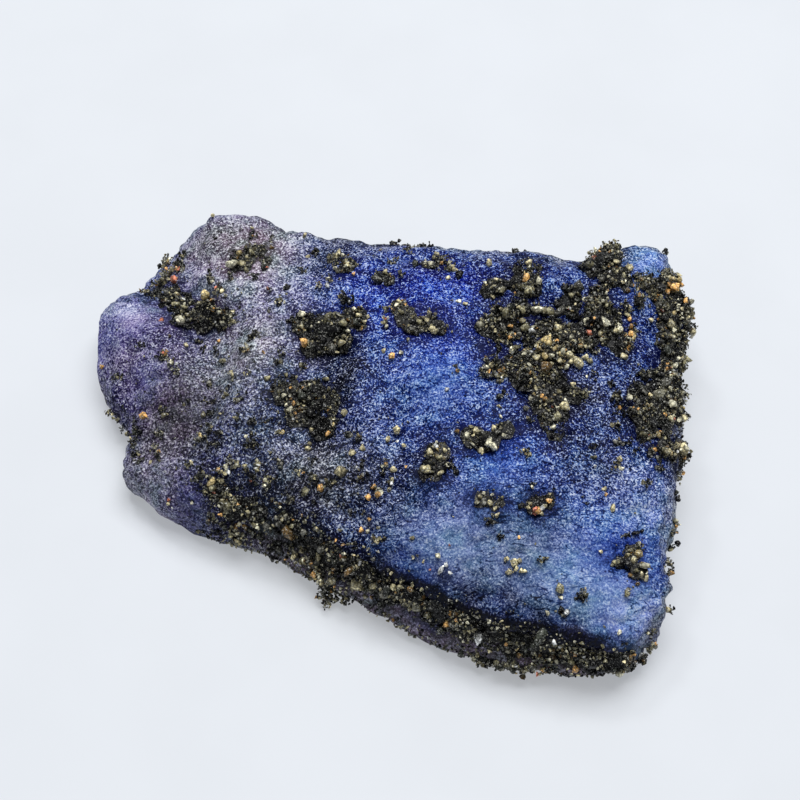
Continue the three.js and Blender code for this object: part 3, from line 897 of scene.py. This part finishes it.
def clump_heap(name):
    """A clump's core, with single grains all over it in place of its lumps, and a few round its foot."""
    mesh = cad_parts[name].data
    heap = Heap()
    core, faces = clump_core(mesh)
    heap.add_faces(core, faces, CORE_TONE, shade=0)
    crosses = corners_and_crosses(mesh)[1]
    area = np.linalg.norm(crosses, axis=1).sum() / 2 / MM**2
    base_lift = SMALL_LIFT if area < SMALL_CLUMP else LIGHTER_PIECES.get(name, 0)
    count = int(area * GRAINS_PER_MM2)
    spots, facings = surface_places(mesh, count)
    sizes = grain_sizes(count)
    sizes = sizes[np.argsort(rng.random(count) - sizes / MM)]  # big ones first, roughly
    depths = sizes * GRAIN_DEPTH + rng.uniform(0, LAYER, size=count) * MM
    middles = spots - facings * depths[:, None]
    carved = np.array([carving_at(spot) for spot in spots.tolist()])
    middles += carved[:, None] * (feet_of(spots) - middles)
    shown = (heights_on_crystal(middles) > -BURIED * MM) & (from_gaps(middles) > 1)
    middles, sizes, carved = middles[shown], sizes[shown], carved[shown]
    sizes = np.where(heights_on_crystal(middles) < SEAT * sizes, sizes * THIN_EDGE, sizes)
    middles = np.array([clear_of_crystal(middle, size) for middle, size in zip(middles, sizes)])
    kept = spaced(middles, sizes, CROWDING)
    kept = carried(middles, sizes, kept, BVHTree.FromPolygons(core.tolist(), faces.tolist()))
    for index in kept:
        # Grains deep in the gaps are black and those on the knots' tops lighter, as painted shade and
        # light.
        tone = GAP_TONE if carved[index] > DEEP_GAP else None
        lift = base_lift + KNOT_LIFT * (1 - carved[index] / DEEP_GAP)
        heap.add_grain(middles[index], sizes[index], tone=tone, lift=lift)
    for index in rng.choice(kept, size=int(SKIRT_SHARE * len(kept))):
        size = min(sizes[index], PEBBLE_SIZE * MM) * rng.uniform(*SKIRT_SIZES)
        foot = set_on_crystal(middles[index] + rng.normal(scale=SKIRT_SPREAD * MM, size=3), size)
        if from_gaps(foot[None])[0] > 1:
            heap.add_grain(foot, size)
    return heap


sand_pieces = []
for name in sand_nodes:
    piece = add_sand(name + "_grains", clump_heap(name))
    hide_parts(name)
    sand_pieces.append(piece)

# ---------------------------------------------------------------- loose grains on the crystal

# Where small loose grains lie: the place in the picture, reach (mm) and amount.
SCATTER = [
    (230, 400, 4.6, 0.45), (150, 400, 3.0, 0.4), (170, 470, 3.2, 0.4), (240, 480, 3.4, 0.6),
    (330, 480, 3.2, 0.5), (370, 440, 2.2, 0.5), (240, 260, 4.0, 0.4), (300, 300, 3.0, 0.4),
    (430, 255, 3.0, 0.5), (540, 340, 4.0, 0.6), (655, 400, 3.2, 0.8), (560, 520, 5.0, 0.1),
]
SCATTER_LEAST = 0.04  # the least amount anywhere
SCATTER_TRIES = 7000
LOOSE_SIZES = {"usual": 0.12, "spread": 0.35, "least": 0.07, "most": 0.3, "pebbles": 0.006}
CRUMB_TRIES = 1700
CRUMB_GRAINS = (4, 22)  # fewest and most in a crumb
CRUMB_HEIGHT = 0.35  # how far it stands out, mm
CRUMB_GAPS = (0.7, 1)  # how far apart its grains are, against grains that just touch
CRUMB_PEBBLES = 0.06
CRUMB_MOST = 0.4  # the biggest grain in a crumb, mm
UNDERSIDE_GAP = 0.3  # nothing lies lower than this above the floor, mm
OVERHANG = -0.2  # nothing lies where the skin leans further under than this


def add_crumb(heap, spot, grains, height=CRUMB_HEIGHT):
    """A little knot of grains stuck together on the crystal."""
    middles, sizes = [], np.minimum(grain_sizes(grains, pebbles=CRUMB_PEBBLES), CRUMB_MOST * MM)
    for size in sizes:
        if middles:
            way = rng.normal(size=3) + height * np.array(crystal_tree.find_nearest(spot)[1])
            base = rng.integers(len(middles))
            gap = TOUCH * (size + sizes[base]) * rng.uniform(*CRUMB_GAPS)
            place = middles[base] + way / np.linalg.norm(way) * gap
            low = height_on_crystal(place) < height * MM
            place = clear_of_crystal(place, size) if low else set_on_crystal(place, size)
        else:
            place = set_on_crystal(spot, size)
        middles.append(place)
        heap.add_grain(place, size)


def strewn(spots, facings):
    """Which of the places on the crystal something lies at, by chance."""
    chances = np.maximum(amount_at(spots / MM, SCATTER), SCATTER_LEAST)
    open_sky = (facings[:, 2] > OVERHANG) & (spots[:, 2] > UNDERSIDE_GAP * MM)
    return (rng.random(len(spots)) < chances) & open_sky & (from_gaps(spots) > 1)


loose = Heap()
spots, facings = surface_places(crystal_mesh, SCATTER_TRIES)
sizes = grain_sizes(SCATTER_TRIES, **LOOSE_SIZES)
lying = strewn(spots, facings)
for spot, size in zip(spots[lying], sizes[lying]):
    loose.add_grain(set_on_crystal(spot, size), size)
spots, facings = surface_places(crystal_mesh, CRUMB_TRIES)
for spot in spots[strewn(spots, facings)]:
    add_crumb(loose, spot, rng.integers(*CRUMB_GRAINS))

# Bigger crumbs: the place in the picture, how many grains, and how far they stand out (mm).
BIG_CRUMBS = [
    (328, 588, 46, 1.2), (322, 580, 20, 0.9), (298, 552, 30, 0.6), (275, 541, 24, 0.5),
    (232, 528, 30, 0.5), (250, 530, 26, 0.5), (212, 518, 26, 0.5), (345, 574, 40, 0.7),
    (365, 585, 40, 0.7), (350, 560, 30, 0.6), (393, 244, 14, 0.2), (420, 247, 12, 0.2),
    (650, 455, 20, 0.4), (660, 345, 26, 0.5), (668, 380, 20, 0.4), (676, 522, 14, 0.4),
    (674, 570, 16, 0.4), (674, 612, 14, 0.5), (636, 545, 24, 0.5), (645, 284, 60, 0.7),
    (650, 296, 60, 0.7), (628, 314, 40, 0.7), (631, 333, 30, 0.6), (643, 300, 40, 0.6),
    (240, 534, 24, 0.5), (262, 537, 24, 0.5), (308, 558, 30, 0.5), (318, 566, 30, 0.6),
    (335, 574, 30, 0.6), (490, 660, 40, 0.35), (510, 664, 40, 0.35), (530, 667, 40, 0.35),
    (550, 667, 40, 0.35), (615, 405, 20, 0.5), (575, 318, 120, 0.6), (592, 308, 120, 0.6),
    (590, 325, 120, 0.6), (610, 316, 100, 0.6), (612, 330, 80, 0.5), (648, 290, 120, 0.6),
    (655, 303, 100, 0.6), (578, 347, 120, 0.6), (592, 345, 60, 0.5), (490, 370, 80, 0.5),
    (508, 373, 90, 0.5), (528, 374, 90, 0.5), (560, 350, 90, 0.6), (545, 325, 100, 0.6),
    (168, 260, 40, 0.5), (172, 272, 50, 0.5), (160, 288, 40, 0.4), (182, 268, 30, 0.4),
    (693, 311, 60, 0.9), (690, 322, 40, 0.7), (332, 590, 60, 1.0), (325, 582, 40, 1.0),
    (345, 600, 30, 0.4), (500, 310, 60, 0.5), (345, 300, 60, 0.5), (355, 325, 60, 0.5),
    (345, 345, 60, 0.5), (320, 352, 60, 0.5), (295, 325, 40, 0.4), (640, 288, 50, 0.5),
    (638, 302, 60, 0.5), (525, 343, 90, 0.5), (507, 338, 60, 0.5), (540, 352, 60, 0.5),
    (486, 377, 60, 0.4), (500, 380, 60, 0.4), (520, 382, 50, 0.4), (495, 330, 60, 0.5),
    (640, 375, 50, 0.4), (655, 380, 60, 0.4), (660, 395, 60, 0.4), (672, 530, 16, 0.4),
    (670, 545, 18, 0.4), (671, 560, 20, 0.5), (670, 572, 16, 0.5), (640, 658, 40, 0.4),
    (632, 664, 40, 0.4), (648, 650, 20, 0.3), (625, 664, 40, 0.4), (203, 470, 20, 0.4),
    (212, 480, 24, 0.4), (222, 472, 16, 0.4), (235, 468, 16, 0.4), (246, 468, 14, 0.3),
    (228, 492, 24, 0.4), (135, 457, 16, 0.3), (143, 460, 14, 0.3), (514, 566, 10, 0.3),
    (478, 656, 40, 0.4), (498, 664, 30, 0.4), (520, 668, 30, 0.4),
]
for x, y, grains, height in BIG_CRUMBS:
    add_crumb(loose, seen_at([crystal], x, y), grains, height)
add_sand("loose_sand", loose)

# The front wall under the lip is coated with sand: the place in the picture, reach (mm) and amount.
WALL_COAT = [
    (222, 528, 0.8, 0.7), (255, 545, 1.4, 0.9), (290, 560, 1.6, 1.0), (330, 580, 1.8, 1.0),
    (480, 640, 1.8, 1.0), (530, 655, 1.8, 1.0), (580, 662, 1.4, 0.5), (400, 615, 1.2, 0.4),
    (240, 540, 1.0, 0.9), (505, 655, 1.6, 1.0), (550, 662, 1.4, 0.9),
]
WALL_TRIES = 120000
WALL_SIZES = {"usual": 0.24, "pebbles": 0.05}
WALL_FACING = 0.45  # the skin is the wall where it faces up less than this
WALL_CROWDING = 0.7

spots, facings = surface_places(crystal_mesh, WALL_TRIES)
on_wall = (facings[:, 2] < WALL_FACING) & (facings[:, 1] < 0) & (spots[:, 2] > UNDERSIDE_GAP * MM)
spots = spots[on_wall & (rng.random(WALL_TRIES) < amount_at(spots / MM, WALL_COAT))]
sizes = grain_sizes(len(spots), **WALL_SIZES)
coat = Heap()
for index in spaced(spots, sizes, WALL_CROWDING):
    coat.add_grain(set_on_crystal(spots[index], sizes[index]), sizes[index])
add_sand("wall_sand", coat)

# Grains that stand out, by kind: the place in the picture, size across (mm), and stretch if it isn't 1.
MARKED_GRAINS = {
    "orange": [
        (304, 342, 0.5, 1.5), (525, 278, 0.5, 1.2), (675, 287, 0.6, 1.2), (537, 510, 0.5),
        (549, 501, 0.35), (575, 668, 0.55, 1.2), (368, 497, 0.4), (102, 367, 0.3), (144, 416, 0.5),
        (354, 274, 0.3), (327, 433, 0.35), (510, 327, 0.35), (557, 342, 0.35), (542, 396, 0.3),
        (392, 355, 0.5), (218, 340, 0.3), (361, 530, 0.35), (631, 334, 0.45), (506, 644, 0.3),
        (446, 625, 0.4), (320, 488, 0.45, 1.2), (668, 292, 0.4), (687, 301, 0.35), (630, 319, 0.3),
        (516, 336, 0.35), (655, 450, 0.35), (406, 467, 0.25), (220, 514, 0.3), (263, 352, 0.25),
        (374, 486, 0.35), (676, 526, 0.3), (606, 494, 0.2), (519, 537, 0.2), (669, 284, 0.4),
        (681, 285, 0.4),
    ],
    "red": [
        (175, 280, 0.5, 1.3), (161, 320, 0.4), (589, 333, 0.4, 1.2), (336, 594, 0.3), (169, 500, 0.25),
        (430, 570, 0.2), (450, 545, 0.2), (535, 511, 0.45),
    ],
    "brown": [
        (289, 533, 0.75, 1.7), (546, 367, 0.6, 1.2), (410, 590, 0.35), (236, 527, 0.35, 1.3),
        (628, 291, 0.35, 1.4), (380, 250, 0.25), (245, 527, 0.35), (457, 432, 0.35), (630, 576, 0.3),
        (638, 584, 0.3), (272, 247, 0.35), (349, 572, 0.5, 1.4),
    ],
    "white": [
        (327, 286, 0.35, 1.5), (532, 331, 0.5), (479, 638, 0.6, 1.8), (555, 642, 0.4, 1.3),
        (615, 441, 0.3), (436, 446, 0.35), (442, 570, 0.4, 1.3), (356, 467, 0.2), (183, 299, 0.3),
        (228, 473, 0.3), (256, 468, 0.3), (172, 508, 0.2), (567, 612, 0.3), (655, 386, 0.25),
        (447, 390, 0.3), (595, 466, 0.25), (397, 441, 0.2), (446, 565, 0.3), (450, 573, 0.25),
        (542, 508, 0.3),
    ],
    "pale": [
        (401, 353, 0.35), (225, 295, 0.3), (458, 302, 0.35), (605, 321, 0.6, 1.2), (629, 397, 0.5, 1.2),
        (537, 309, 0.65, 1.2), (566, 400, 0.4), (489, 442, 0.55, 1.2), (563, 352, 0.5, 1.1),
        (438, 556, 0.4), (302, 314, 0.45), (552, 355, 0.4), (524, 354, 0.3, 1.2), (695, 303, 0.4),
        (678, 306, 0.35), (674, 331, 0.35), (670, 389, 0.35), (687, 447, 0.35), (553, 427, 0.35),
        (500, 417, 0.35), (484, 494, 0.25), (492, 495, 0.25), (561, 597, 0.25), (234, 311, 0.25),
        (348, 331, 0.35), (368, 531, 0.3), (448, 464, 0.4, 1.3), (380, 493, 0.35), (284, 302, 0.2),
        (625, 281, 0.25), (585, 321, 0.25), (674, 365, 0.4), (619, 632, 0.35), (547, 613, 0.3),
        (573, 349, 0.3), (581, 366, 0.35), (567, 367, 0.35),
    ],
    "tan": [
        (385, 351, 0.35), (308, 257, 0.3), (578, 363, 0.75, 1.3), (620, 459, 0.5), (646, 577, 0.4),
        (213, 214, 0.35), (191, 463, 0.35), (514, 563, 0.45, 1.2), (624, 357, 0.5), (518, 338, 0.35),
        (628, 314, 0.4), (616, 262, 0.4), (660, 300, 0.35), (551, 364, 0.4), (506, 559, 0.3),
        (509, 572, 0.35, 1.3), (525, 571, 0.3, 1.3), (669, 277, 0.45), (681, 273, 0.5),
        (629, 268, 0.5, 1.8), (489, 263, 0.5), (529, 261, 0.55, 1.2), (337, 253, 0.5, 1.3),
        (347, 263, 0.4), (386, 272, 0.4), (359, 315, 0.5), (364, 321, 0.4), (399, 301, 0.35),
        (434, 331, 0.4), (465, 304, 0.3), (397, 430, 0.5), (404, 445, 0.3, 1.3), (388, 439, 0.3, 1.3),
        (430, 452, 0.5), (423, 468, 0.4), (440, 473, 0.4), (312, 430, 0.3), (345, 413, 0.4),
        (476, 430, 0.45), (493, 428, 0.4), (481, 451, 0.35), (536, 388, 0.45), (573, 384, 0.35),
        (600, 334, 0.4), (604, 489, 0.35), (613, 508, 0.35, 1.3), (628, 554, 0.35), (601, 552, 0.25),
        (186, 345, 0.35), (166, 262, 0.35), (255, 524, 0.4, 1.2), (248, 512, 0.35), (263, 522, 0.25, 1.4),
        (393, 470, 0.4), (363, 448, 0.4), (351, 452, 0.4), (498, 515, 0.35), (393, 587, 0.4),
        (317, 529, 0.3), (318, 558, 0.4), (668, 452, 0.45), (651, 320, 0.3), (676, 612, 0.4),
        (138, 455, 0.3), (150, 462, 0.3), (168, 504, 0.3), (412, 538, 0.3), (437, 254, 0.35),
        (305, 235, 0.35), (252, 228, 0.3), (537, 358, 0.5), (569, 356, 0.5), (572, 361, 0.4),
        (585, 357, 0.45), (560, 361, 0.35), (528, 508, 0.3), (541, 514, 0.3), (545, 506, 0.3),
        (530, 503, 0.3), (480, 497, 0.3), (495, 509, 0.3), (490, 503, 0.35), (427, 320, 0.35),
        (432, 328, 0.4), (507, 559, 0.35), (510, 571, 0.35), (521, 571, 0.3), (519, 561, 0.35),
        (515, 568, 0.35), (633, 560, 0.35), (641, 575, 0.35), (448, 278, 0.35), (455, 270, 0.35),
    ],
    "honey": [
        (544, 338, 0.8, 1.1), (541, 348, 0.65, 1.1), (548, 343, 0.5), (556, 349, 0.5), (545, 356, 0.55),
        (672, 280, 0.45), (680, 279, 0.4), (634, 338, 0.35), (561, 355, 0.4),
    ],
    "olive": [
        (560, 588, 0.6), (550, 311, 0.5), (581, 348, 0.5, 1.2), (527, 290, 0.6), (502, 290, 0.5),
        (505, 312, 0.5), (522, 310, 0.5), (571, 295, 0.4), (250, 253, 0.45, 1.2), (306, 490, 0.5),
        (223, 362, 0.45, 1.4), (185, 306, 0.4, 1.4), (558, 416, 0.6), (440, 457, 0.4), (627, 593, 0.45),
        (615, 563, 0.4), (594, 457, 0.4), (326, 379, 0.35), (329, 389, 0.3), (212, 488, 0.35),
        (163, 283, 0.45), (688, 358, 0.5), (267, 378, 0.3, 1.3), (287, 375, 0.3, 1.3),
        (296, 377, 0.25, 1.3), (590, 361, 0.4), (430, 472, 0.4), (402, 312, 0.35), (419, 321, 0.4),
        (436, 331, 0.35), (408, 340, 0.35), (618, 562, 0.35), (612, 565, 0.3), (630, 550, 0.35),
        (636, 571, 0.35),
    ],
    "grey": [
        (645, 391, 0.45), (547, 322, 0.5), (526, 408, 0.4), (350, 583, 0.4), (412, 328, 0.4),
        (422, 331, 0.35), (622, 536, 0.25), (484, 503, 0.35), (628, 590, 0.35),
    ],
    "dark_green": [
        (302, 396, 0.65), (541, 635, 0.6, 2),
    ],
    "black": [
        (459, 275, 0.55), (626, 535, 0.3), (634, 533, 0.35), (642, 531, 0.3), (215, 238, 0.35),
        (630, 535, 0.3), (638, 532, 0.3),
    ],
}
MARKED_SHADE = 0.8  # how light they are within their kind, 0 to 1
MARKED_SEAT = 0.3  # a marked grain's middle stands this share of its size before what carries it
GRAIN_FILL = 0.82  # a grain is about this share of its size across
TONE_STEP = 0.005  # well inside a kind's share of the scale of tones, which is read in 256 steps

marked = Heap()
carriers = [crystal] + sand_pieces
for kind, grains in MARKED_GRAINS.items():
    tone = GRAIN_KINDS[kind][0] + TONE_STEP
    for x, y, across, *stretch in grains:
        size = across / GRAIN_FILL * MM
        place = seen_at(carriers, x, y) - sight_line(x, y) * size * MARKED_SEAT
        marked.add_grain(place, size, *stretch, tone=tone, shade=MARKED_SHADE)
add_sand("marked_grains", marked)

# ---------------------------------------------------------------- the floor and the light

FLOOR_SIZE = 1.5  # from its middle to its edge, m
FLOOR_COLOUR = (0.40, 0.42, 0.45, 1)
FLOOR_MOTTLE = (0.384, 0.4032, 0.432, 1)  # the colour of its faint, darker patches
MOTTLE_NOISE = {"across": 8, "detail": 3}  # mm
MOTTLE_STEP = (0.3, 0.7)
FLOOR_ROUGHNESS = 0.7
GLOW_COLOUR = (0.93, 0.96, 1.0, 1)
FLOOR_GLOW = 0.355  # how bright the floor itself shines
SKY_COLOUR = (0.92, 0.95, 1.0, 1)
SKY_LIGHT = 0.26
# Square lamps: the place and the side (m), and the power (W).
LAMPS = [
    {"name": "overhead", "at": (0.045, 0.06, 0.31), "side": 0.22, "watts": 0.95},
    {"name": "sparkle", "at": (-0.08, 0.14, 0.26), "side": 0.05, "watts": 0.16},
]


def add_floor():
    bm = bmesh.new()
    bmesh.ops.create_grid(bm, x_segments=1, y_segments=1, size=FLOOR_SIZE)
    mesh = bpy.data.meshes.new("floor")
    bm.to_mesh(mesh)
    bm.free()
    sh = Shader("floor")
    place = sh.node("TexCoord").outputs["Object"]
    mottle = sh.step(sh.noise(place, **MOTTLE_NOISE), *MOTTLE_STEP)
    sh.feed(sh.bsdf.inputs["Base Color"], sh.mix(mottle, FLOOR_COLOUR, FLOOR_MOTTLE))
    sh.feed(sh.bsdf.inputs["Roughness"], FLOOR_ROUGHNESS)
    sh.feed(sh.bsdf.inputs["Emission Color"], GLOW_COLOUR)
    sh.feed(sh.bsdf.inputs["Emission Strength"], FLOOR_GLOW)
    mesh.materials.append(sh.material)
    floor = add_object("floor", mesh)


def add_lamp(name, at, side, watts):
    data = bpy.data.lights.new(name, "AREA")
    data.size = side
    data.energy = watts
    lamp = bpy.data.objects.new(name, data)
    lamp.location = at
    lamp.rotation_euler = Vector(at).to_track_quat("Z", "Y").to_euler()
    bpy.context.scene.collection.objects.link(lamp)


add_floor()
for lamp in LAMPS:
    add_lamp(**lamp)
world = bpy.data.worlds.new("studio")
world.use_nodes = True
world.node_tree.nodes["Background"].inputs["Color"].default_value = SKY_COLOUR
world.node_tree.nodes["Background"].inputs["Strength"].default_value = SKY_LIGHT
bpy.context.scene.world = world
bpy.context.scene.view_settings.view_transform = "Standard"
